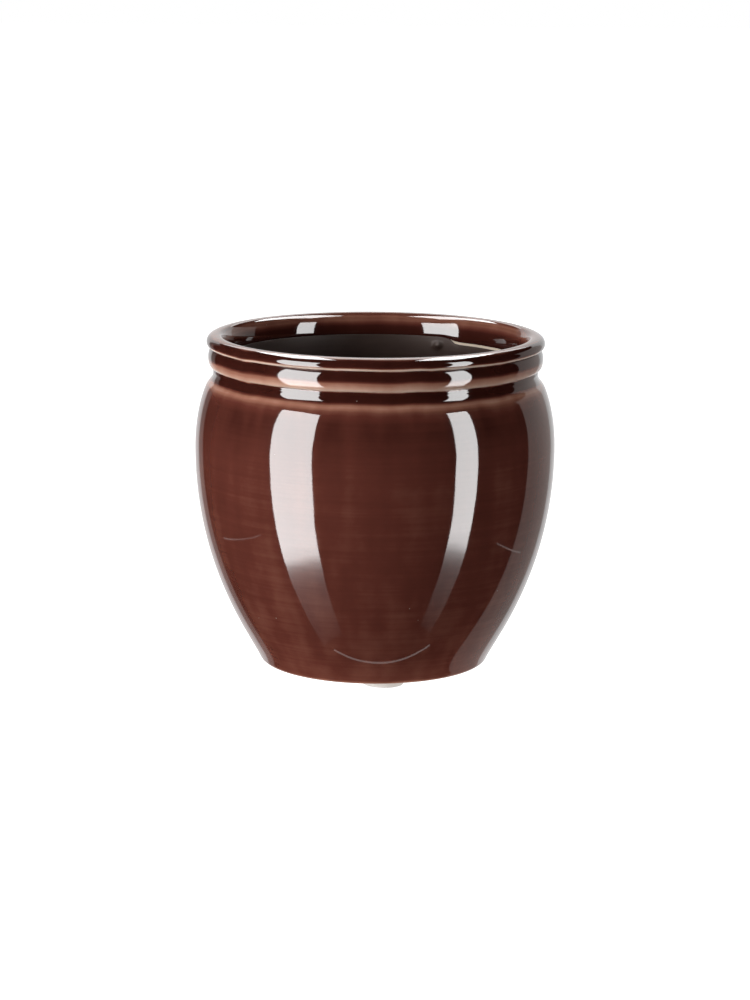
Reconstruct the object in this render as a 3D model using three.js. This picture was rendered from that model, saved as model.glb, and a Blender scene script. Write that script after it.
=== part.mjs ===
// A round, sealed flower pot of fired clay: a belly on a narrow foot, a neck with one ring and a rolled lip.
// Brown glaze covers the outside and rolls over the lip, a dark sealing coat lines the inside, and the foot
// stands on felt pads that are stuck on with adhesive discs.
// Millimetres, +Z up, origin on the standing surface under the middle of the pot.
import * as THREE from "three";

// Outer outline, measured on the glaze
const bellyDiameter = 160;
const bellyHeight = 96.6; // widest level above the foot's standing face
const footDiameter = 100.8; // where the side would meet the standing face
const footLean = 25.2; // degrees that the side leans out at the foot
const footRounding = 2; // how much the rounding takes off each side of the foot's corner
const bareFootShare = 0.35; // share of the rounding that stays bare
const sideFootHandle = 12; // pull of the side's curve at the foot and at the belly
const sideBellyHandle = 53;
const shoulderDepth = 15.5; // elliptic shoulder above the belly: half width and half height
const shoulderRise = 37.9;
const neckInset = 8.6; // neck groove, inside the belly's widest line
const ringHeight = 10; // from the neck groove to the groove under the lip
const ringBulge = 2.4; // how far the ring stands out from the line between its two grooves
const lipOverhang = 3.5; // lip's outermost line, outside the neck groove
const lipGrooveDepth = 2.6; // groove under the lip, inside the lip's outermost line
const lipRollOut = 5.2; // from the lip's crest to its outermost line
const lipHalfHeight = 3.5;
const mouthInset = 4.7; // from the lip's crest in to the mouth's narrowest line
const mouthDepth = 12; // from the lip's crest down to the mouth's narrowest line

// Inside
const bellyWall = 5.5;
const floorThickness = 7;
const floorRounding = 11;
const mouthHandle = 20; // pull of the inside's curve at the mouth and at the belly

// Coats
const glazeThickness = 0.5;
const glazeBandDepth = 9.5; // glaze inside the mouth, below the lip's crest
const bareStripHeight = 0.4; // bare clay between the glaze and the sealing coat
const coatThickness = 0.4;
const bondGap = 0.02; // hairline between a coat and the clay that it covers

// Felt pads
const padDiameter = 18;
const padThickness = 2.6;
const padEdgeRounding = 0.5;
const padInset = 3; // from the edge of the standing face to the pad
const padCount = 3;
const frontPadTurn = 7; // degrees that the first pad stands to the right of the front
const adhesiveMargin = 0.5; // from the pad's edge to the adhesive's edge
const adhesiveThickness = 0.4;

// Facets of the round pieces
const potSegments = 40;
const padSegments = 24;

const clay = new THREE.MeshStandardMaterial({ color: 0xdccbb4, roughness: 0.9, metalness: 0 });
const brownGlaze = new THREE.MeshStandardMaterial({ color: 0x5c2f24, roughness: 0.12, metalness: 0 });
const darkCoat = new THREE.MeshStandardMaterial({ color: 0x382824, roughness: 0.5, metalness: 0 });
const whiteFelt = new THREE.MeshStandardMaterial({ color: 0xece6e2, roughness: 0.95, metalness: 0 });
const paleAdhesive = new THREE.MeshStandardMaterial({ color: 0xd8d2c4, roughness: 0.6, metalness: 0 });

function point(radius, height) {
  return new THREE.Vector2(radius, height);
}

function line(from, to) {
  return new THREE.LineCurve(from, to);
}

function arc(centre, halfWidth, halfHeight, from, to) {
  return new THREE.EllipseCurve(centre.x, centre.y, halfWidth, halfHeight, from, to);
}

function swing(from, fromHandle, toHandle, to) {
  return new THREE.CubicBezierCurve(from, fromHandle, toHandle, to);
}

function roundedCorner(before, corner, after) {
  return new THREE.QuadraticBezierCurve(before, corner, after);
}

// The rest of a rounded corner after a share of it, which is a rounded corner too.
function restOfCorner(curve, share) {
  return roundedCorner(curve.getPoint(share), curve.v1.clone().lerp(curve.v2, share), curve.v2);
}

// Joins curves, each with its number of steps, into one run of points.
function joinCurves(pieces) {
  const run = [];
  for (const [curve, steps] of pieces) {
    run.push(...curve.getPoints(steps).slice(run.length ? 1 : 0));
  }
  return run;
}

// Moves a run of points to its left by a distance, keeping its corners mitred.
function moveLeft(run, distance) {
  const leftOf = (from, to) => point(from.y - to.y, to.x - from.x).normalize();
  const last = run.length - 1;
  return run.map((here, i) => {
    const before = leftOf(run[Math.max(i - 1, 0)], run[Math.max(i, 1)]);
    const after = leftOf(run[Math.min(i, last - 1)], run[Math.min(i + 1, last)]);
    const mitre = before.clone().add(after).multiplyScalar(distance / (1 + before.dot(after)));
    return here.clone().add(mitre);
  });
}

// A piece turned about +Z from its profile of radii and heights.
function turnedPiece(name, profile, segments, material) {
  const geometry = new THREE.LatheGeometry(profile, segments);
  geometry.rotateX(Math.PI / 2);
  const mesh = new THREE.Mesh(geometry, material);
  mesh.name = name;
  return mesh;
}

// Side: rounded at the foot, then one curve out to the belly's widest line.
const lean = THREE.MathUtils.degToRad(footLean);
const upTheSide = point(Math.sin(lean), Math.cos(lean));
const footCorner = point(footDiameter / 2, 0);
const standingEdge = point(footCorner.x - footRounding, 0);
const sideStart = footCorner.clone().addScaledVector(upTheSide, footRounding);
const footCurve = roundedCorner(standingEdge, footCorner, sideStart);
const widest = point(bellyDiameter / 2, bellyHeight);
const sideCurve = swing(
  sideStart,
  sideStart.clone().addScaledVector(upTheSide, sideFootHandle),
  point(widest.x, widest.y - sideBellyHandle),
  widest,
);

// Shoulder: part of an ellipse, from the widest line to the neck groove.
const neckAngle = Math.acos(1 - neckInset / shoulderDepth);
const shoulderCentre = point(widest.x - shoulderDepth, widest.y);
const shoulderCurve = arc(shoulderCentre, shoulderDepth, shoulderRise, 0, neckAngle);

// Ring: a shallow arc between the neck groove and the groove under the lip.
const neckGroove = point(widest.x - neckInset, widest.y + shoulderRise * Math.sin(neckAngle));
const lipRadius = neckGroove.x + lipOverhang;
const lipGroove = point(lipRadius - lipGrooveDepth, neckGroove.y + ringHeight);

function ringCurve() {
  const chord = lipGroove.clone().sub(neckGroove);
  const halfChord = chord.length() / 2;
  const radius = (halfChord ** 2 + ringBulge ** 2) / (2 * ringBulge);
  const outward = point(chord.y, -chord.x).normalize();
  const centre = neckGroove.clone().lerp(lipGroove, 0.5).addScaledVector(outward, ringBulge - radius);
  const angleTo = (end) => Math.atan2(end.y - centre.y, end.x - centre.x);
  return arc(centre, radius, radius, angleTo(neckGroove), angleTo(lipGroove));
}

// Lip: a flattened roll from its groove over the crest, and a slope down to the mouth's narrowest line.
const lipGrooveAngle = -Math.acos(1 - lipGrooveDepth / lipRollOut);
const lipCentre = point(lipRadius - lipRollOut, lipGroove.y - lipHalfHeight * Math.sin(lipGrooveAngle));
const lipOutside = arc(lipCentre, lipRollOut, lipHalfHeight, lipGrooveAngle, Math.PI / 2);
const mouthCentre = point(lipCentre.x, lipCentre.y + lipHalfHeight - mouthDepth);

function mouthCurve(fromDepth, toDepth) {
  const angleAt = (depth) => Math.PI - Math.asin(1 - depth / mouthDepth);
  return arc(mouthCentre, mouthInset, mouthDepth, angleAt(fromDepth), angleAt(toDepth));
}

// Glazed surface, from the foot's rounding, over the lip and down into the mouth.
const glazedRun = joinCurves([
  [restOfCorner(footCurve, bareFootShare), 2],
  [sideCurve, 8],
  [shoulderCurve, 6],
  [ringCurve(), 4],
  [lipOutside, 6],
  [mouthCurve(0, glazeBandDepth), 4],
]);

// Sealed surface, from under the bare strip in the mouth down the inside to the middle of the floor.
function sealedSurface() {
  const mouth = point(mouthCentre.x - mouthInset, mouthCentre.y);
  const wide = point(widest.x - bellyWall, widest.y);
  const innerCorner = point(footCorner.x - bellyWall / Math.cos(lean), 0);
  const upTo = (height) => innerCorner.clone().addScaledVector(upTheSide, height / upTheSide.y);
  const sideEnd = upTo(floorThickness + floorRounding);
  const floorEdge = point(upTo(floorThickness).x - floorRounding, floorThickness);
  return joinCurves([
    [mouthCurve(glazeBandDepth + bareStripHeight, mouthDepth), 1],
    [swing(mouth, point(mouth.x, mouth.y - mouthHandle), point(wide.x, wide.y + mouthHandle), wide), 6],
    [swing(
      wide,
      point(wide.x, wide.y - sideBellyHandle),
      sideEnd.clone().addScaledVector(upTheSide, sideFootHandle),
      sideEnd,
    ), 6],
    [roundedCorner(sideEnd, upTo(floorThickness), floorEdge), 4],
    [line(floorEdge, point(0, floorThickness)), 1],
  ]);
}
const sealedRun = sealedSurface();

// A coat of even thickness behind a run: it closes on itself, or starts and ends on the axis.
function coatProfile(run, thickness) {
  const under = moveLeft(run, thickness).reverse();
  const endsOnAxis = run.at(-1).x === 0;
  return endsOnAxis ? [...under, ...run] : [...run, ...under, run[0]];
}

// Clay: its standing face and the foot's edge stay bare, and its other surfaces lie just behind the coats.
const clayUnderGlaze = moveLeft(glazedRun, glazeThickness + bondGap);
const clayUnderCoat = moveLeft(sealedRun, coatThickness + bondGap);
const clayProfile = [point(0, 0), standingEdge, ...clayUnderGlaze, ...clayUnderCoat];

function feltPad(name) {
  const radius = padDiameter / 2;
  const flat = radius - padEdgeRounding;
  const profile = [
    point(0, 0),
    point(flat, 0),
    point(radius, padEdgeRounding),
    point(radius, padThickness - padEdgeRounding),
    point(flat, padThickness),
    point(0, padThickness),
  ];
  return turnedPiece(name, profile, padSegments, whiteFelt);
}

// The adhesive fills the height between a pad and the standing face.
const standHeight = padThickness + adhesiveThickness;

function adhesiveDisc(name) {
  const radius = padDiameter / 2 - adhesiveMargin;
  const profile = [
    point(0, padThickness),
    point(radius, padThickness),
    point(radius, standHeight),
    point(0, standHeight),
  ];
  return turnedPiece(name, profile, padSegments, paleAdhesive);
}

const flowerPot = new THREE.Group();

const vessel = new THREE.Group();
vessel.position.z = standHeight;
vessel.add(turnedPiece("clay_body", clayProfile, potSegments, clay));
vessel.add(turnedPiece("outer_glaze", coatProfile(glazedRun, glazeThickness), potSegments, brownGlaze));
vessel.add(turnedPiece("inner_sealing_coat", coatProfile(sealedRun, coatThickness), potSegments, darkCoat));
flowerPot.add(vessel);

// The first pad stands near the front, the others at equal turns round the foot.
const padCircleRadius = standingEdge.x - padInset - padDiameter / 2;
for (let i = 0; i < padCount; i += 1) {
  const angle = THREE.MathUtils.degToRad(frontPadTurn - 90 + (i * 360) / padCount);
  const foot = new THREE.Group();
  foot.position.set(padCircleRadius * Math.cos(angle), padCircleRadius * Math.sin(angle), 0);
  foot.add(feltPad(`felt_pad_${i + 1}`), adhesiveDisc(`pad_adhesive_${i + 1}`));
  flowerPot.add(foot);
}

export default flowerPot;
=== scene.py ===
# %% [markdown]
# A round flower pot in brown glaze, rebuilt around its CAD frame.
# The frame comes first, because every piece sits where the CAD says: in metres, with +Z up
# and the standing surface at zero.

# %% Load the frame
from math import asin, atan2, cos, degrees, hypot, pi, radians, sin, tan
import bpy
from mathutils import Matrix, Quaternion, Vector


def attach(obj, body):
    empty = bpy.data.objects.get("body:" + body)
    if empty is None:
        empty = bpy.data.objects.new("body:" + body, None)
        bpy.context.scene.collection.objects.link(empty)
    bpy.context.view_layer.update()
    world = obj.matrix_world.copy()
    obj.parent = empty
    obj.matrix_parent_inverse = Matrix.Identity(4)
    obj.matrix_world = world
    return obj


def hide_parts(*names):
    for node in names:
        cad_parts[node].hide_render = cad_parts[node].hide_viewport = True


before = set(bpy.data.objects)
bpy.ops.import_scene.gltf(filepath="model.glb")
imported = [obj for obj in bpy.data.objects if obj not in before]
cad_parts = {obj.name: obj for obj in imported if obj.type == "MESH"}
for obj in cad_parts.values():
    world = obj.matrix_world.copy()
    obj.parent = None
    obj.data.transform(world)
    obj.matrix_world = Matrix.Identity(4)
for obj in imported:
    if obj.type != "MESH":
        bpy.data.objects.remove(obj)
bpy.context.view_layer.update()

# %% [markdown]
# The camera stands in front of the pot and looks down on it a little, as in the photograph.
# Its place, its lens and a slight tilt come from fitting the pot's outline, so they are plain numbers here.

# %% Camera
camera = bpy.data.objects.new("camera", bpy.data.cameras.new("camera"))
bpy.context.scene.collection.objects.link(camera)
camera.location = (0, -1.3547, 0.3489)
aim = Vector((0.0002, 0, 0.0750))
tilt = Quaternion((0, 0, 1), radians(0.461))
camera.rotation_mode = "QUATERNION"
camera.rotation_quaternion = (aim - camera.location).to_track_quat("-Z", "Y") @ tilt
camera.data.lens = 111.25
camera.data.clip_start = 0.01
bpy.context.scene.camera = camera
bpy.context.scene.view_settings.view_transform = "Standard"
print("camera lens", camera.data.lens, "mm")

# %% [markdown]
# A potter throws the pot on a wheel, so every wall is one outline that is turned about the axis.
# The outline could be a curve with a screw modifier, but here its points are given one by one, because then
# each
# arc keeps its own size: a point is extruded along the outline, and the line is spun round.
# These helpers give the points of the outline's parts, in millimetres from the axis and the floor.

# %% Outline helpers
def swing(start, start_pull, end_pull, end, steps):
    """Points on a cubic curve between two ends."""
    points = []
    for i in range(steps + 1):
        t = i / steps
        weights = ((1 - t) ** 3, 3 * t * (1 - t) ** 2, 3 * t * t * (1 - t), t ** 3)
        corners = (start, start_pull, end_pull, end)
        points.append(tuple(sum(w * c[k] for w, c in zip(weights, corners)) for k in (0, 1)))
    return points


def bow(centre, half_width, half_height, first, last, steps):
    """Points on an ellipse between two angles."""
    angles = [first + (last - first) * i / steps for i in range(steps + 1)]
    return [(centre[0] + half_width * cos(a), centre[1] + half_height * sin(a)) for a in angles]


def arc(centre, radius, first, last, steps):
    """Points on a circle between two angles in degrees."""
    return bow(centre, radius, radius, radians(first), radians(last), steps)


def straight(start, end, steps):
    """Points on a line."""
    return [tuple(start[k] + (end[k] - start[k]) * i / steps for k in (0, 1)) for i in range(steps + 1)]


def join_runs(*runs):
    """One run from several that follow each other."""
    joined = list(runs[0])
    for run in runs[1:]:
        joined += run[1:]
    return joined


def move_in(run, depth):
    """A run moved to its left, which is into the wall for a run that goes up outside and down inside."""
    moved = []
    for i, (r, z) in enumerate(run):
        before, after = run[max(i - 1, 0)], run[min(i + 1, len(run) - 1)]
        along = (after[0] - before[0], after[1] - before[1])
        length = hypot(*along)
        moved.append((r - along[1] / length * depth, z + along[0] / length * depth))
    return moved


def corner_run(before, corner, after, first, steps):
    """Points on a rounded corner, from a share of the way along it to its end."""
    shares = [first + (1 - first) * i / steps for i in range(steps + 1)]
    return [
        tuple((1 - t) ** 2 * before[k] + 2 * t * (1 - t) * corner[k] + t * t * after[k] for k in (0, 1))
        for t in shares
    ]


def ease(before, after, pull, steps):
    """A soft join between two runs, along the first one's direction and then the second one's."""
    start, end = before[-1], after[0]
    out = hypot(start[0] - before[-2][0], start[1] - before[-2][1])
    back = hypot(after[1][0] - end[0], after[1][1] - end[1])
    start_pull = tuple(start[k] + (start[k] - before[-2][k]) / out * pull for k in (0, 1))
    end_pull = tuple(end[k] - (after[1][k] - end[k]) / back * pull for k in (0, 1))
    return swing(start, start_pull, end_pull, end, steps)


# %% [markdown]
# The outline of the glazed outside. The pot stands three millimetres up, on its felt pads.
# From the foot the side swings out to the belly, and the shoulder turns in to a hollow neck.
# Then come one flat ring with a sharper lower edge, the rolled lip and the slope down into the mouth.
# One smooth curve could follow it all. Separate arcs are easier to set, one for each edge and hollow.

# %% Outline of the glaze
stand = 3.0
lean = radians(25.2)
foot_rounding, foot_handle, belly_handle = 2.0, 12.0, 53.0
shoulder_depth, shoulder_rise = 15.5, 37.9
mouth_inset, mouth_depth, glaze_depth_inside = 4.7, 12.0, 9.5
foot_corner, belly, crest = (50.4, stand), (80.0, stand + 96.6), (69.7, 150.03)
foot_edge = (foot_corner[0] - foot_rounding, stand)
bare_foot_share = 0.35


def up_the_side(start, distance):
    """A point further up along the lean of the foot."""
    return (start[0] + distance * sin(lean), start[1] + distance * cos(lean))


def mouth_run(first_depth, last_depth, steps):
    """The slope inside the mouth, between two depths under the lip's crest."""
    turns = [pi - asin(1 - depth / mouth_depth) for depth in (first_depth, last_depth)]
    return bow((crest[0], crest[1] - mouth_depth), mouth_inset, mouth_depth, turns[0], turns[1], steps)


side_start = up_the_side(foot_corner, foot_rounding)
side_pull = up_the_side(side_start, foot_handle)
side_run = swing(side_start, side_pull, (belly[0], belly[1] - belly_handle), belly, 44)
shoulder_centre = (belly[0] - shoulder_depth, belly[1])
shoulder_run = bow(shoulder_centre, shoulder_depth, shoulder_rise, 0, radians(45.2), 26)
neck_run = arc((77.29, 133.20), 5.3, 222, 172, 14)
ring_edge = arc((71.60, 137.80), 2.3, -80, -16, 10)
ring_face = arc((64.20, 139.93), 10, -16, 24, 12)
lip_edge = arc((73.108, 146.482), 1.75, -85, -16, 10)
lip_face = arc((71.97, 146.81), 2.93, -16, 24, 8)
inside_run = mouth_run(0, glaze_depth_inside, 18)
glazed_run = join_runs(
    corner_run(foot_edge, foot_corner, side_start, bare_foot_share, 6),
    side_run,
    shoulder_run,
    ease(shoulder_run, neck_run, 1.28, 8),
    neck_run,
    ease(neck_run, ring_edge, 0.5, 6),
    ring_edge,
    ring_face,
    ease(ring_face, lip_edge, 0.6, 8),
    lip_edge,
    lip_face,
    ease(lip_face, inside_run, 1.79, 12),
    inside_run,
)
print("glazed outline", len(glazed_run), "points, from", glazed_run[0], "to", glazed_run[-1])

# %% [markdown]
# The inside, from the mouth down to the middle of the floor. It isn't in view far down, so it could be
# any plain bowl. It follows the outside at the thickness of a thrown wall, with a rounded corner to a
# flat floor, because that is how a pot comes off the wheel.

# %% Outline of the inside
wall, floor_height, floor_bend = 5.5, stand + 7, 11
mouth_handle, bare_strip = 20, 0.35
inner_foot = foot_corner[0] - wall / cos(lean)


def on_inner_slope(height):
    """A point on the straight lower part of the inside."""
    return (inner_foot + (height - stand) * tan(lean), height)


inner_belly = (belly[0] - wall, belly[1])
slope_end = on_inner_slope(floor_height + floor_bend)
floor_corner = on_inner_slope(floor_height)
slope_pull = up_the_side(slope_end, foot_handle)
floor_edge = (floor_corner[0] - floor_bend, floor_height)
coat_top = mouth_run(glaze_depth_inside + bare_strip, mouth_depth, 4)
mouth = coat_top[-1]


def above(spot, rise):
    """A point straight above another, or below it for a negative rise."""
    return (spot[0], spot[1] + rise)


sealed_run = join_runs(
    coat_top,
    swing(mouth, above(mouth, -mouth_handle), above(inner_belly, mouth_handle), inner_belly, 24),
    swing(inner_belly, above(inner_belly, -belly_handle), slope_pull, slope_end, 26),
    swing(slope_end, floor_corner, floor_corner, floor_edge, 10),
    straight(floor_edge, (0, floor_height), 8),
)
print("sealed outline", len(sealed_run), "points down to the floor at", floor_height, "mm")

# %% [markdown]
# Turning a piece. A tiny plane is merged to one point, and the point is moved to the start of the outline
# and extruded from point to point. The line is then spun about the axis, as the clay turns on the wheel.
# A closed outline comes back to its first point. Spin leaves doubles at the axis and at the seam,
# so they are merged before the faces are turned outwards.

# %% Turning helper
def only(piece):
    """Selects one piece alone."""
    bpy.ops.object.select_all(action="DESELECT")
    piece.select_set(True)
    bpy.context.view_layer.objects.active = piece


def turn_piece(name, outline, steps):
    """Draws an outline in millimetres and spins it about the axis."""
    bpy.ops.object.select_all(action="DESELECT")
    bpy.ops.mesh.primitive_plane_add(size=0.001, location=(0, 0, 0))
    piece = bpy.context.object
    piece.name = piece.data.name = name
    bpy.ops.object.mode_set(mode="EDIT")
    bpy.ops.mesh.select_all(action="SELECT")
    bpy.ops.mesh.merge(type="CENTER")
    metres = [(r / 1000, 0, z / 1000) for r, z in outline]
    bpy.ops.transform.translate(value=metres[0])
    for before, after in zip(metres, metres[1:]):
        step = [b - a for a, b in zip(before, after)]
        bpy.ops.mesh.extrude_vertices_move(TRANSFORM_OT_translate={"value": step})
    bpy.ops.mesh.select_all(action="SELECT")
    bpy.ops.mesh.spin(steps=steps, angle=2 * pi, center=(0, 0, 0), axis=(0, 0, 1))
    bpy.ops.mesh.select_all(action="SELECT")
    bpy.ops.mesh.remove_doubles(threshold=1e-6)
    bpy.ops.mesh.normals_make_consistent(inside=False)
    bpy.ops.object.mode_set(mode="OBJECT")
    bpy.ops.object.shade_smooth_by_angle(angle=radians(40))
    print(name, len(piece.data.polygons), "faces")
    return piece


# %% [markdown]
# The glaze is a coat of melted glass, half a millimetre thick. It could be a finish on the clay alone,
# but it is a piece with its own thickness here, because its edge shows inside the mouth.
# Both edges are rounded, since melted glaze draws back into a bead.

# %% Glaze
glaze_depth = 0.5


def bead(outer, inner, beyond):
    """Three points round the edge of a coat, from its outer to its inner side."""
    middle = [(outer[k] + inner[k]) / 2 for k in (0, 1)]
    tip = (middle[0] + beyond[0], middle[1] + beyond[1])
    near = [
        tuple(0.55 * side[k] + 0.45 * middle[k] + 0.8 * beyond[k] for k in (0, 1))
        for side in (outer, inner)
    ]
    return [near[0], tip, near[1]]


glaze_back = move_in(glazed_run, glaze_depth)
glaze_outline = (
    glazed_run
    + bead(glazed_run[-1], glaze_back[-1], (0, -0.25))
    + glaze_back[::-1]
    + bead(glaze_back[0], glazed_run[0], (-0.18, -0.07))
    + glazed_run[:1]
)
glaze = turn_piece("glaze", glaze_outline, 160)
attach(glaze, "root")
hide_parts("outer_glaze")

# %% [markdown]
# The clay under the coats is the pot itself. Only its underside, the edge of its foot and a strip inside
# the mouth stay bare. It could be the coats moved inwards by a modifier. It is turned from its own outline
# instead, a hairline behind both coats, so that no two surfaces meet.

# %% Clay
bond, coat_depth = 0.02, 0.4
under_glaze = move_in(glazed_run, glaze_depth + bond)
under_coat = move_in(sealed_run, coat_depth + bond)
under_coat[-1] = (0, under_coat[-1][1])
clay_outline = join_runs(
    straight((0, stand), foot_edge, 10),
    [foot_edge, *under_glaze],
    [under_glaze[-1], *under_coat],
)
clay = turn_piece("clay", clay_outline, 128)
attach(clay, "root")
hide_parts("clay_body")

# %% [markdown]
# The sealing coat makes the inside watertight. It is brushed on by hand, from the glaze's edge down over
# the floor. It could be a finish too, but it has an edge in view beside the bare clay, so it is turned
# like the glaze. Only its upper edge is rounded, because its other end is the middle of the floor.

# %% Sealing coat
coat_back = move_in(sealed_run, coat_depth)
coat_back[-1] = (0, coat_back[-1][1])
coat_outline = coat_back[::-1] + bead(coat_back[0], sealed_run[0], (0, 0.1)) + sealed_run
coat = turn_piece("sealing_coat", coat_outline, 160)
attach(coat, "root")
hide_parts("inner_sealing_coat")

# %% [markdown]
# On the right at the back the two coats part: the glaze ran a little lower and the brush stopped short of it,
# so a strip of bare clay shows. A mask could paint it, but the coats have real edges there.
# The edges are pulled down with soft falloff, as a finger would drag them.

# %% Parted coats
mouth_side = 0.0664


def drag_edge(piece, low, high, first, last, drop, reach):
    """Pulls the edge between two heights and two angles down, and its neighbours with it."""
    only(piece)
    bpy.ops.object.mode_set(mode="EDIT")
    bpy.ops.mesh.select_all(action="DESELECT")
    bpy.ops.object.mode_set(mode="OBJECT")
    picked = 0
    for corner in piece.data.vertices:
        x, y, z = corner.co
        turn = degrees(atan2(x, y))
        corner.select = low < z < high and first < turn < last and hypot(x, y) < mouth_side
        picked += corner.select
    bpy.ops.object.mode_set(mode="EDIT")
    bpy.ops.transform.translate(
        value=(0, 0, -drop), use_proportional_edit=True,
        proportional_edit_falloff="SMOOTH", proportional_size=reach,
    )
    bpy.ops.object.mode_set(mode="OBJECT")
    print(piece.name, "edge pulled down at", picked, "points")


drag_edge(glaze, 0.1395, 0.1408, 34, 76, 0.0017, 0.009)
drag_edge(coat, 0.1398, 0.1415, 34, 76, 0.0017, 0.009)
drag_edge(coat, 0.1370, 0.1400, 33, 76, 0.0011, 0.0025)

# %% [markdown]
# Beside the bare strip two small lumps of the sealing coat dried on the wall. They could be balls that
# are sunk into it, but then their rims would be sharp. The wall is cut finer there instead, and the lumps
# are drawn out of it towards the axis.

# %% Lumps
neck_wall = 0.0652


def raise_lump(piece, turn, height, wide, out):
    """Draws a lump out of the inner wall at an angle in degrees and a height."""
    inwards = Vector((-sin(radians(turn)), -cos(radians(turn)), 0))
    spot = Vector((0, 0, height)) - neck_wall * inwards

    def pick(reach):
        bpy.ops.object.mode_set(mode="OBJECT")
        for corner in piece.data.vertices:
            away = corner.co - spot
            inner = hypot(corner.co.x, corner.co.y) < 0.06535 + max(0, 0.138 - corner.co.z) * 0.1
            corner.select = inner and hypot(hypot(away.x, away.y), away.z * 1.6) < reach
        bpy.ops.object.mode_set(mode="EDIT")

    only(piece)
    bpy.ops.object.mode_set(mode="EDIT")
    bpy.ops.mesh.select_all(action="DESELECT")
    bpy.ops.mesh.select_mode(type="VERT")
    pick(wide * 1.9)
    bpy.ops.mesh.subdivide(number_cuts=3)
    bpy.ops.mesh.select_all(action="DESELECT")
    pick(wide * 0.25)
    bpy.ops.transform.translate(
        value=out * inwards, use_proportional_edit=True, use_proportional_connected=True,
        proportional_edit_falloff="SMOOTH", proportional_size=wide,
    )
    bpy.ops.object.mode_set(mode="OBJECT")
    print(piece.name, "lump at", turn, "degrees,", len(piece.data.polygons), "faces")


raise_lump(coat, 26, 0.1362, 0.0026, 0.0013)
raise_lump(coat, 31, 0.1358, 0.0020, 0.0010)

# %% [markdown]
# The felt pads are discs punched from pressed felt, and an adhesive film holds each one to the foot.
# They could be soft bodies, but pressed felt hardly gives, so a disc with a rounded rim is right.
# One of each is modelled, and copied to the three places with a mesh of its own.

# %% Felt pads
pad_radius, pad_height = 0.009, 0.0026
backing_radius, pad_ring = 0.0085, 0.0364
front_pad_turn = 7
pad_turns = [radians(front_pad_turn - 90 + 120 * i) for i in range(3)]


def disc(name, radius, low, high, edge, segments):
    """A disc on the axis with a rounded rim, from a cylinder whose rim edges are bevelled."""
    bpy.ops.object.select_all(action="DESELECT")
    middle = (low + high) / 2
    bpy.ops.mesh.primitive_cylinder_add(
        vertices=segments, radius=radius, depth=high - low, location=(0, 0, middle), end_fill_type="TRIFAN",
    )
    piece = bpy.context.object
    piece.name = piece.data.name = name
    bpy.ops.object.transform_apply(location=True)
    bpy.ops.object.mode_set(mode="EDIT")
    bpy.ops.mesh.select_all(action="DESELECT")
    bpy.ops.object.mode_set(mode="OBJECT")
    for line in piece.data.edges:
        ends = [piece.data.vertices[i].co for i in line.vertices]
        line.select = all(hypot(e.x, e.y) > radius * 0.99 for e in ends) and abs(ends[0].z - ends[1].z) < 1e-6
    bpy.ops.object.mode_set(mode="EDIT")
    bpy.ops.mesh.bevel(offset=edge, segments=3, affect="EDGES")
    bpy.ops.object.mode_set(mode="OBJECT")
    bpy.ops.object.shade_smooth_by_angle(angle=radians(40))
    return piece


def copy_round(piece, names):
    """Copies a piece with its own mesh to each pad's place and removes the first one."""
    copies = []
    for name, turn in zip(names, pad_turns):
        only(piece)
        bpy.ops.object.duplicate(linked=False)
        made = bpy.context.object
        made.name = made.data.name = name
        bpy.ops.transform.translate(value=(pad_ring * cos(turn), pad_ring * sin(turn), 0))
        bpy.ops.object.transform_apply(location=True)
        copies.append(made)
    bpy.data.objects.remove(piece)
    return copies


felt = disc("felt", pad_radius, 0, pad_height, 0.0005, 64)
pads = copy_round(felt, [f"pad_{i}" for i in (1, 2, 3)])
for i, pad in enumerate(pads, 1):
    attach(pad, "root")
    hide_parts(f"felt_pad_{i}")

backing = disc("backing", backing_radius, pad_height, stand / 1000, 0.0001, 48)
backings = copy_round(backing, [f"backing_{i}" for i in (1, 2, 3)])
for i, piece in enumerate(backings, 1):
    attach(piece, "root")
    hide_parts(f"pad_adhesive_{i}")

# %% [markdown]
# Finishes are built from shader nodes. They could be wired by hand in the node editor. Here a small class
# wraps a socket, so that sums of sockets read like sums of numbers: each operator adds one Math node.
# Every other node comes from one method, settings first and sockets second.

# %% Shader helper
class Wire:
    """A socket in a node tree. Arithmetic on it adds Math nodes."""

    def __init__(self, tree, socket=None):
        self.tree, self.socket = tree, socket

    def node(self, kind, settings=None, sockets=None, out=0):
        """Adds a node, sets it up, fills its sockets with values or wires, and returns one of its outputs."""
        made = self.tree.nodes.new(kind)
        for name, value in (settings or {}).items():
            if name == "stops":
                made.color_ramp.elements.remove(made.color_ramp.elements[1])
                for i, (place, colour) in enumerate(value):
                    stop = made.color_ramp.elements.new(place) if i else made.color_ramp.elements[0]
                    stop.position = place
                    stop.color = colour if isinstance(colour, tuple) else (colour, colour, colour, 1)
            else:
                setattr(made, name, value)
        for name, value in (sockets or {}).items():
            if isinstance(value, Wire):
                self.tree.links.new(value.socket, made.inputs[name])
            else:
                made.inputs[name].default_value = value
        return Wire(self.tree, made.outputs[out]) if len(made.outputs) else Wire(self.tree)

    def maths(self, operation, first, second):
        return self.node("ShaderNodeMath", {"operation": operation}, {0: first, 1: second})

    def __add__(self, other):
        return self.maths("ADD", self, other)

    def __radd__(self, other):
        return self.maths("ADD", other, self)

    def __sub__(self, other):
        return self.maths("SUBTRACT", self, other)

    def __rsub__(self, other):
        return self.maths("SUBTRACT", other, self)

    def __mul__(self, other):
        return self.maths("MULTIPLY", self, other)

    def __rmul__(self, other):
        return self.maths("MULTIPLY", other, self)

    def __truediv__(self, other):
        return self.maths("DIVIDE", self, other)


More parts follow.
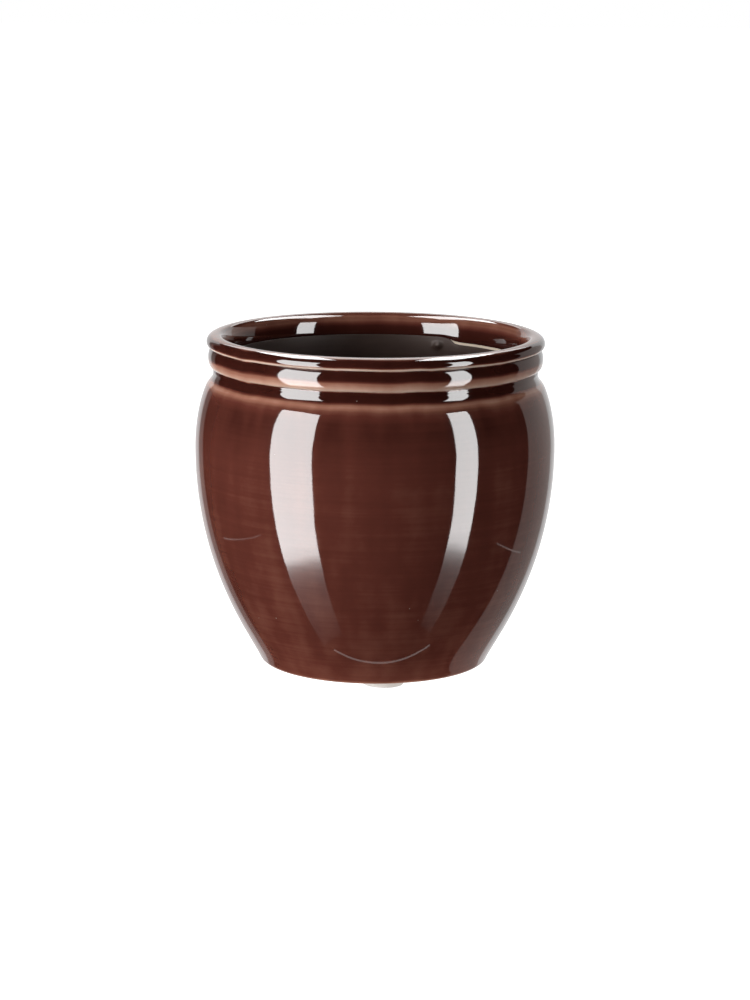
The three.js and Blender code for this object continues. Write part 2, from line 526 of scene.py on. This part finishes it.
def new_finish(name):
    """An empty material, with the piece's own coordinates in metres as its first wire."""
    material = bpy.data.materials.new(name)
    material.use_nodes = True
    material.node_tree.nodes.clear()
    place = Wire(material.node_tree).node("ShaderNodeTexCoord", out="Object")
    return material, place


def put_finish(material, pieces):
    """Gives a material to pieces, as their only one."""
    for piece in pieces:
        piece.data.materials.clear()
        piece.data.materials.append(material)
    print(material.name, "on", [piece.name for piece in pieces], len(material.node_tree.nodes), "nodes")


def show(shader):
    """Ends a material's nodes in its surface."""
    shader.node("ShaderNodeOutputMaterial", {}, {"Surface": shader})


def noise(place, stretch, detail=3.0, rough=0.5):
    """Cloudy values from 0 to 1, with so many waves to the metre along X, Y and Z."""
    stretched = place.node("ShaderNodeMapping", {}, {"Vector": place, "Scale": stretch})
    return place.node("ShaderNodeTexNoise", {}, {
        "Vector": stretched, "Scale": 1.0, "Detail": detail, "Roughness": rough}, "Fac")


def ramp(value, stops):
    """A value or colour looked up between stops."""
    return value.node("ShaderNodeValToRGB", {"stops": stops}, {"Fac": value})


def mix(factor, first, second):
    """A colour between two colours."""
    return factor.node("ShaderNodeMix", {"data_type": "RGBA"}, {0: factor, 6: first, 7: second}, 2)


def from_axis(place):
    """Distance from the pot's axis."""
    level = place.node("ShaderNodeVectorMath", {"operation": "MULTIPLY"}, {0: place, 1: (1, 1, 0)})
    return place.node("ShaderNodeVectorMath", {"operation": "LENGTH"}, {0: level}, "Value")


def bumps(relief, strength, depth):
    """Surface directions for a relief, at a strength and a depth in metres."""
    return relief.node("ShaderNodeBump", {}, {
        "Strength": strength, "Distance": depth, "Height": relief}, "Normal")


# %% [markdown]
# The glaze is see-through and brown. It is melted glass, so it runs off edges and gathers in grooves:
# thin glaze shows the pale clay, and thick glaze is nearly black. It could be real glass over the clay,
# but that is slow and noisy to render. Instead its thinness is looked up by the height on the pot,
# in three ramps: the side, the neck with the ring and the lip, and the slope inside the mouth.
# The ramp inside the mouth darkens downwards partly for thicker glaze and partly as painted shade of the
# mouth.

# %% Glaze finish: thinness by height
glaze_finish, place = new_finish("brown_glaze")
height = place.node("ShaderNodeSeparateXYZ", {}, {"Vector": place}, "Z")
radius = from_axis(place)
neck_level, crest_radius = 0.126, 0.0697
wavy = height + (noise(place, (70, 70, 25), 1.5, 0.5) - 0.5) * 0.0011


def by_height(stops, low, high):
    """Thinness looked up by a slightly wavy height, with stops in millimetres; inside the mouth it also holds
    painted shade.
    """
    span = (high - low) / 1000
    share = (wavy - low / 1000) / span
    return ramp(share, [((z - low) / (high - low), thin) for z, thin in stops])


thin_low = by_height([
    (3.2, 0.80), (4.0, 0.62), (4.8, 0.43), (20, 0.425), (60, 0.405), (100, 0.40), (110, 0.35), (119, 0.27),
    (123, 0.32), (126, 0.42)], 0, 126)
thin_high = by_height([
    (126, 0.42), (127.2, 0.50), (128.2, 0.62), (129.0, 0.72), (129.8, 0.68), (130.6, 0.44), (131.1, 0.14),
    (132.0, 0.05), (134.9, 0.05), (135.3, 0.35), (135.6, 0.92), (136.3, 0.92), (137.0, 0.82), (138.2, 0.72),
    (139.3, 0.66), (139.9, 0.48), (140.6, 0.18), (141.2, 0.05), (144.3, 0.04), (144.6, 0.40), (144.8, 1.0),
    (145.6, 1.0), (145.9, 0.70), (146.4, 0.24), (147.2, 0.08), (148.8, 0.07), (149.3, 0.28), (149.7, 0.62),
    (150.1, 0.68)], 126, 150.1)
# Inside the mouth the ramp darkens downwards: partly thicker glaze, partly painted shade of the mouth's
# hollow.
inside_thinness_and_shade = by_height([
    (139, 0.04), (142, 0.08), (144.3, 0.22), (145.5, 0.42), (146.8, 0.57), (147.8, 0.55), (148.5, 0.60),
    (149.2, 0.50), (149.7, 0.52), (150.1, 0.66)], 139, 150.1)
upper = height.maths("GREATER_THAN", height, neck_level)
within = upper * radius.maths("LESS_THAN", radius, crest_radius)
thin_outside = thin_low * (1 - upper) + thin_high * upper
# The inside value carries that painted shade into the thinness, and so into the colour below.
thin = thin_outside * (1 - within) + inside_thinness_and_shade * within
print("thinness by height", len(glaze_finish.node_tree.nodes), "nodes")

# %% [markdown]
# The glaze isn't even. The wheel and the brush leave fine level bands, and the glaze clouds and runs down
# the wall, most of all under the neck. Each of these could be painted. Here each is a stretched noise
# that makes the glaze a little thinner or thicker, and none is very fine, since fine noise sparkles
# where the wall turns away. One ramp then turns thinness into colour.

# %% Glaze finish: bands, runs, clouds and colour
bands = noise(place, (5, 5, 420), 1.0)
runs = noise(place, (110, 110, 4), 1.0)
clouds = noise(place, (60, 60, 45), 2.0, 0.6)
grain = noise(place, (500, 500, 500), 1.0)
brush = noise(place, (26, 26, 1000), 1.0, 0.5)
streaks = noise(place, (170, 170, 4), 0.5) - 0.5
shoulder = ramp((height - 0.112) / 0.022, [(0.0, 0.0), (0.45, 1.0), (0.75, 0.8), (0.95, 0.0)])
thin = thin + (bands - 0.5) * 0.06 + (runs - 0.5) * 0.14 + (clouds - 0.5) * 0.13 + (grain - 0.5) * 0.025
thin = thin + (brush - 0.5) * 0.055 + streaks * shoulder * 0.2
colour = ramp(thin, [
    (0.00, (0.038, 0.0085, 0.0060, 1)),
    (0.20, (0.060, 0.0150, 0.0105, 1)),
    (0.40, (0.122, 0.0330, 0.0230, 1)),
    (0.52, (0.210, 0.0740, 0.0500, 1)),
    (0.68, (0.390, 0.1750, 0.1180, 1)),
    (0.85, (0.640, 0.3900, 0.2900, 1)),
    (1.00, (0.900, 0.7000, 0.5800, 1))])
print("colour by thinness", len(glaze_finish.node_tree.nodes), "nodes")

# %% [markdown]
# A few specks of dust lie on the gloss, and slow waves from the potter's hands bend what it mirrors.
# The waves could be in the mesh, but they are so shallow that a bump gives them better.

# %% Glaze finish: dust, gloss and waves
speck_cells = {"Vector": place, "Scale": 260.0}
specks = place.node("ShaderNodeTexVoronoi", {"feature": "F1"}, speck_cells, "Distance")
pick = place.node("ShaderNodeTexVoronoi", {"feature": "F1"}, speck_cells, "Color")
chosen = place.node("ShaderNodeSeparateColor", {}, {"Color": pick}, "Red")
dust = specks.maths("LESS_THAN", specks, 0.055) * chosen.maths("GREATER_THAN", chosen, 0.965)
colour = mix(dust * 0.45, colour, (0.55, 0.47, 0.42, 1))
gloss = 0.045 + (clouds - 0.5) * 0.03 + dust * 0.3
wheel_lines, hand_waves = noise(place, (5, 5, 300), 1.0), noise(place, (26, 26, 34), 2.0)
relief = (wheel_lines - 0.5) * 0.08 + (hand_waves - 0.5) * 1.4
show(place.node("ShaderNodeBsdfPrincipled", {}, {
    "Base Color": colour, "Roughness": gloss, "IOR": 1.55, "Normal": bumps(relief, 0.25, 0.0004)}))
put_finish(glaze_finish, [glaze])

# %% [markdown]
# The bare clay is cream, matt and a little gritty. Under the foot it keeps rings from the turning tool.
# The rings could be modelled, but they are very shallow, so a noise along the radius draws them.

# %% Clay finish
clay_finish, place = new_finish("fired_clay")
rings = {"W": from_axis(place) * 900, "Detail": 2.0}
lines = place.node("ShaderNodeTexNoise", {"noise_dimensions": "1D"}, rings, "Fac")
clouds = noise(place, (55, 55, 55), 4.0)
grit = noise(place, (1500, 1500, 1500), 2.0)
colour = mix(clouds * 0.7 + lines * 0.3, (0.70, 0.56, 0.42, 1), (0.86, 0.76, 0.62, 1))
flecks = grit.maths("GREATER_THAN", grit, 0.68)
colour = mix(flecks * 0.35, colour, (0.42, 0.30, 0.20, 1))
relief = (lines - 0.5) * 0.6 + (grit - 0.5) * 0.5
show(place.node("ShaderNodeBsdfPrincipled", {}, {
    "Base Color": colour, "Roughness": 0.82 + (clouds - 0.5) * 0.15, "IOR": 1.45,
    "Normal": bumps(relief, 0.5, 0.0003)}))
put_finish(clay_finish, [clay])

# %% [markdown]
# The sealing coat is dark and satin, with brush marks that go round the wall.
# The marks could be carved, but they are thinner than the coat, so a noise that is stretched round
# the axis is enough.

# %% Sealing coat finish
coat_finish, place = new_finish("dark_coat")
strokes = noise(place, (9, 9, 300), 4.0, 0.6)
clouds = noise(place, (40, 40, 40), 4.0, 0.6)
grain = noise(place, (1100, 1100, 1100), 2.0)
colour = mix(strokes * 0.5 + clouds * 0.5, (0.024, 0.0120, 0.0095, 1), (0.092, 0.056, 0.044, 1))
relief = (strokes - 0.5) * 0.7 + (clouds - 0.5) * 0.8 + (grain - 0.5) * 0.12
show(place.node("ShaderNodeBsdfPrincipled", {}, {
    "Base Color": colour, "Roughness": 0.46 + (clouds - 0.5) * 0.25, "IOR": 1.34,
    "Normal": bumps(relief, 0.4, 0.0004)}))
put_finish(coat_finish, [coat])

# %% [markdown]
# Pressed felt is a mat of short fibres, off-white and dull, with a soft sheen at its edge.
# Hair could give the fibres, but only their mat shows, so two crossed noises stand for it.

# %% Felt finish
felt_finish, place = new_finish("white_felt")
fibres = noise(place, (2600, 420, 2600), 3.0) * 0.5 + noise(place, (420, 2600, 2600), 3.0) * 0.5
mat = noise(place, (350, 350, 350), 4.0)
colour = mix(fibres * 0.6 + mat * 0.4, (0.84, 0.81, 0.79, 1), (0.97, 0.96, 0.95, 1))
show(place.node("ShaderNodeBsdfPrincipled", {}, {
    "Base Color": colour, "Roughness": 0.9 + (mat - 0.5) * 0.15, "Sheen Weight": 0.35,
    "Normal": bumps(fibres * 0.7 + mat * 0.5, 0.6, 0.0004)}))
put_finish(felt_finish, pads)

# %% [markdown]
# The adhesive backing is a pale film with a few trapped bubbles. It lies between the felt and the foot,
# so it could be one plain colour, but a noise and a few cells for the bubbles cost little.

# %% Backing finish
backing_finish, place = new_finish("adhesive")
film = noise(place, (500, 500, 500), 3.0)
bubbles = place.node("ShaderNodeTexVoronoi", {"feature": "F1"}, {"Vector": place, "Scale": 700.0}, "Distance")
bubble = bubbles.maths("LESS_THAN", bubbles, 0.22)
colour = mix(film * 0.8 + bubble * 0.2, (0.60, 0.56, 0.48, 1), (0.80, 0.77, 0.70, 1))
show(place.node("ShaderNodeBsdfPrincipled", {}, {
    "Base Color": colour, "Roughness": 0.5 + (film - 0.5) * 0.3,
    "Normal": bumps(film - bubble * 0.3, 0.3, 0.0002)}))
put_finish(backing_finish, backings)

# %% [markdown]
# A plain pale floor. More light could whiten it, but that would wash out the pot, so it glows a little
# for the camera alone and keeps the pot's soft shadow. The gloss doesn't show it, because the pot mirrors
# tall lamps that go on below the level where it stands.

# %% Floor
bpy.ops.object.select_all(action="DESELECT")
bpy.ops.mesh.primitive_plane_add(size=12, location=(0, 0, 0))
floor = bpy.context.object
floor.name = "floor"
floor.visible_glossy = False
floor_finish, place = new_finish("pale_floor")
seen = place.node("ShaderNodeLightPath", out="Is Camera Ray")
matt = place.node("ShaderNodeBsdfDiffuse", {}, {"Color": (0.8, 0.8, 0.8, 1)})
glow = place.node("ShaderNodeEmission", {}, {"Color": (1, 1, 1, 1), "Strength": 0.88})
bright = place.node("ShaderNodeAddShader", {}, {0: matt, 1: glow})
show(place.node("ShaderNodeMixShader", {}, {0: seen, 1: matt, 2: bright}))
put_finish(floor_finish, [floor])

# %% [markdown]
# The studio: tall lit cards stand round the pot, and the glaze mirrors them as bright strips. Lamps could
# do it, but a card's light can fade with its height, as the strips do. A card is part of a wide cylinder,
# made by spinning an upright line. Its angles are measured from the camera's side.

# %% Lit cards
reach = 2.5


def card(name, first, last, low, high, stops, tint=(1, 1, 1)):
    """A lit card between two angles in degrees and two heights, with its light looked up by height."""
    bpy.ops.object.select_all(action="DESELECT")
    bpy.ops.mesh.primitive_plane_add(size=0.001, location=(0, 0, 0))
    made = bpy.context.object
    made.name = name
    bpy.ops.object.mode_set(mode="EDIT")
    bpy.ops.mesh.select_all(action="SELECT")
    bpy.ops.mesh.merge(type="CENTER")
    turn = radians(first)
    bpy.ops.transform.translate(value=(reach * sin(turn), -reach * cos(turn), low))
    bpy.ops.mesh.extrude_vertices_move(TRANSFORM_OT_translate={"value": (0, 0, high - low)})
    bpy.ops.mesh.select_all(action="SELECT")
    bpy.ops.mesh.spin(steps=24, angle=radians(first - last), center=(0, 0, 0), axis=(0, 0, 1))
    bpy.ops.object.mode_set(mode="OBJECT")
    finish, place = new_finish(name)
    height = place.node("ShaderNodeSeparateXYZ", {}, {"Vector": place}, "Z")
    share = (height - low) / (high - low)
    most = max(light for z, light in stops)
    shades = [((z - low) / (high - low), tuple(light / most * t for t in tint) + (1,)) for z, light in stops]
    show(place.node("ShaderNodeEmission", {}, {"Color": ramp(share, shades), "Strength": most}))
    put_finish(finish, [made])
    made.visible_camera = False
    made.visible_diffuse = False
    made.visible_shadow = False
    print(name, "spans", [round(v, 2) for v in made.dimensions])


def card_height(elevation):
    """Height on a card that is seen at an elevation in degrees from the belly."""
    return 0.10 + (reach - 0.07) * tan(radians(elevation))


fade = [(-63, 0.1), (-56, 0.3), (-50, 0.55), (-45, 0.8), (-42, 1.3), (-40, 2.1), (-38, 4.0)]
for name, first, last, light, top, shift in (
    ("left_card", -68.3, -39.2, 13.4, 31.3, 0), ("right_card", 51.5, 66.9, 11.8, 31.8, 5),
):
    stops = [(card_height(e + shift), v) for e, v in fade]
    stops += [(card_height(-35 + shift), 0.85 * light), (card_height(-31 + shift), light)]
    stops += [(card_height(top), light)]
    card(name, first, last, card_height(-63 + shift), card_height(top), stops)
warm = (1, 0.90, 0.86)
low, high = -3.0, 1.15
right_light = [(low, 0.40), (-0.6, 0.45), (0.1, 0.60), (high, 0.60)]
left_light = [(low, 0.40), (-0.4, 0.36), (0.3, 0.22), (high, 0.20)]
card("right_wall", 112.5, 150, low, high, right_light, warm)
card("back_wall", 150, 208.7, low, high, [(low, 0.95), (high, 0.95)])
card("left_wall", 208.7, 218.7, low, high, left_light, warm)
card("high_back_card", 161, 199, 1.16, 3.3, [(1.16, 2.6), (3.3, 2.6)])

# %% [markdown]
# Two narrow lamps hang above the pot, side by side from front to back. The lip mirrors both of them twice,
# once in front and once at the back. Far cards could do it too, but they would draw the highlights too long.

# %% Overhead strips
for name, side in (("overhead_left", -1), ("overhead_right", 1)):
    bpy.ops.object.select_all(action="DESELECT")
    bpy.ops.mesh.primitive_plane_add(size=1, location=(side * 0.0945, 0.10, 0.35))
    strip = bpy.context.object
    strip.name = name
    bpy.ops.transform.resize(value=(0.079, 0.24, 1))
    bpy.ops.object.transform_apply(location=True, scale=True)
    finish, place = new_finish(name)
    show(place.node("ShaderNodeEmission", {}, {"Color": (1, 1, 1, 1), "Strength": 16.0}))
    put_finish(finish, [strip])
    strip.visible_camera = strip.visible_diffuse = strip.visible_shadow = False
    print(name, "starts at", [round(v, 3) for v in strip.bound_box[0]])

# %% [markdown]
# Low on the belly the gloss shows hairlines, which curve as the wall does. They could be scratches in the
# finish, but they bend like mirrored edges, so thin lit bars on the floor draw them. A lit sheet under
# the foot throws light back at the pads.

# %% Hairlines and light under the foot
def low_light(name, middle, size, turn, light):
    """A flat lit piece at floor level, turned about its middle."""
    bpy.ops.object.select_all(action="DESELECT")
    place_above = (middle[0], middle[1], 0.0005)
    bpy.ops.mesh.primitive_plane_add(size=1, location=place_above, rotation=(0, 0, radians(turn)))
    made = bpy.context.object
    made.name = name
    made.scale = (size[0], size[1], 1)
    bpy.ops.object.transform_apply(location=True, rotation=True, scale=True)
    finish, place = new_finish(name)
    show(place.node("ShaderNodeEmission", {}, {"Color": (1, 0.96, 0.94, 1), "Strength": light}))
    put_finish(finish, [made])
    made.visible_camera = made.visible_shadow = False
    print(name, "spans", [round(v, 4) for v in made.dimensions])
    return made


for name, middle, size, turn, light in (
    ("front_hairline", (0.006, -0.0605), (0.062, 0.0009), 3, 1.5),
    ("left_hairline", (-0.193, -0.010), (0.003, 0.130), 0, 0.8),
    ("right_hairline", (0.1785, -0.004), (0.003, 0.085), 10, 1.0),
):
    low_light(name, middle, size, turn, light).visible_diffuse = False
sheet = low_light("foot_sheet", (0, 0), (0.125, 0.125), 0, 0.8)
sheet.visible_glossy = False

# %% [markdown]
# One soft lamp from the left lights the pot, and the pale surroundings fill the shade. More lamps could
# fill it, but an even light from all round gives softer shade. The camera sees the surroundings white,
# and the gloss doesn't see them, because it has the cards to mirror.

# %% Lamp and surroundings
lamp = bpy.data.objects.new("key_lamp", bpy.data.lights.new("key_lamp", "AREA"))
bpy.context.scene.collection.objects.link(lamp)
lamp.data.shape = "RECTANGLE"
lamp.data.size, lamp.data.size_y = 0.5, 0.7
lamp.data.energy = 17
turn = radians(-63)
lamp.location = (1.5 * sin(turn), -1.5 * cos(turn), 0.40)
lamp.rotation_mode = "QUATERNION"
lamp.rotation_quaternion = (Vector((0, 0, 0.08)) - lamp.location).to_track_quat("-Z", "Y")
lamp.visible_camera = False
lamp.visible_glossy = False

world = bpy.data.worlds.new("surroundings")
bpy.context.scene.world = world
world.use_nodes = True
world.node_tree.nodes.clear()
air = Wire(world.node_tree)
seen = air.node("ShaderNodeLightPath", out="Is Camera Ray")
through = air.node("ShaderNodeLightPath", out="Is Transmission Ray")
mirrored = air.node("ShaderNodeLightPath", out="Is Glossy Ray")
white = seen.maths("MAXIMUM", seen, through)
backdrop, fill, dark = (
    air.node("ShaderNodeBackground", {}, {"Color": (1, 1, 1, 1), "Strength": light})
    for light in (1.0, 0.34, 0.0)
)
unseen = air.node("ShaderNodeMixShader", {}, {0: mirrored, 1: fill, 2: dark})
sky = air.node("ShaderNodeMixShader", {}, {0: white, 1: unseen, 2: backdrop})
air.node("ShaderNodeOutputWorld", {}, {"Surface": sky})
print("lamp", lamp.data.energy, "W at", [round(v, 2) for v in lamp.location])
